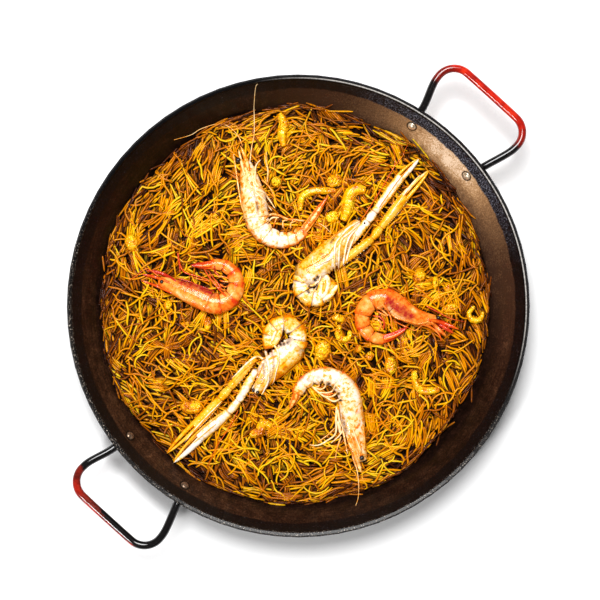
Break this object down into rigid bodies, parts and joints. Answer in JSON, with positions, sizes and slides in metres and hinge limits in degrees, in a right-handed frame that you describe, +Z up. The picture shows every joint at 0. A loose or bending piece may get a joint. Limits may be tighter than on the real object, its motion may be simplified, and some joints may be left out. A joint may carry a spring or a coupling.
{
  "type": "pan of fideua",
  "caption": "Wide two-handled steel pan filled with toasted short noodles, topped with curled prawns, langoustines and pieces of cuttlefish.",
  "frame": {"origin": "centre of the pan's flat base, on the surface that it stands on", "axes": "+X through the middle of both handles, +Z up out of the open pan"},
  "size_m": [0.5778, 0.4594, 0.0479],
  "materials": {
    "pan_steel": "seasoned dark brown sheet steel, blue-black towards the rim, satin and speckled",
    "handle_paint": "glossy red paint, worn to dark steel on the legs",
    "rivet_steel": "satin",
    "noodle": "toasted, moist, golden to brown",
    "prawn_pale": "cooked, pale with orange mottling, wet sheen",
    "prawn_red": "cooked, orange red with crimson patches, wet sheen",
    "langoustine": "cooked, cream and orange, satin",
    "cuttlefish": "yellow gold, oily"
  },
  "bodies": {
    "root": {"pan_body": "pan_steel", "handle_front": "handle_paint", "handle_back": "handle_paint", "rivet_front_left": "rivet_steel", "rivet_front_right": "rivet_steel", "rivet_back_left": "rivet_steel", "rivet_back_right": "rivet_steel", "noodles": "noodle", "prawn_pale_top": "prawn_pale", "prawn_pale_low": "prawn_pale", "prawn_red_left": "prawn_red", "prawn_red_right": "prawn_red", "langoustine_upper": "langoustine", "langoustine_lower": "langoustine", "cuttlefish_1": "cuttlefish", "cuttlefish_2": "cuttlefish", "cuttlefish_3": "cuttlefish", "cuttlefish_4": "cuttlefish", "cuttlefish_5": "cuttlefish", "cuttlefish_6": "cuttlefish", "cuttlefish_7": "cuttlefish", "cuttlefish_8": "cuttlefish", "cuttlefish_9": "cuttlefish", "cuttlefish_10": "cuttlefish", "cuttlefish_11": "cuttlefish", "cuttlefish_12": "cuttlefish", "cuttlefish_13": "cuttlefish", "cuttlefish_14": "cuttlefish", "cuttlefish_15": "cuttlefish", "cuttlefish_16": "cuttlefish", "squid_loop": "cuttlefish", "squid_strip": "cuttlefish", "squid_ring_1": "cuttlefish", "squid_ring_2": "cuttlefish", "tentacle_1": "cuttlefish", "tentacle_2": "cuttlefish", "tentacle_3": "cuttlefish"}
  },
  "joints": []
}
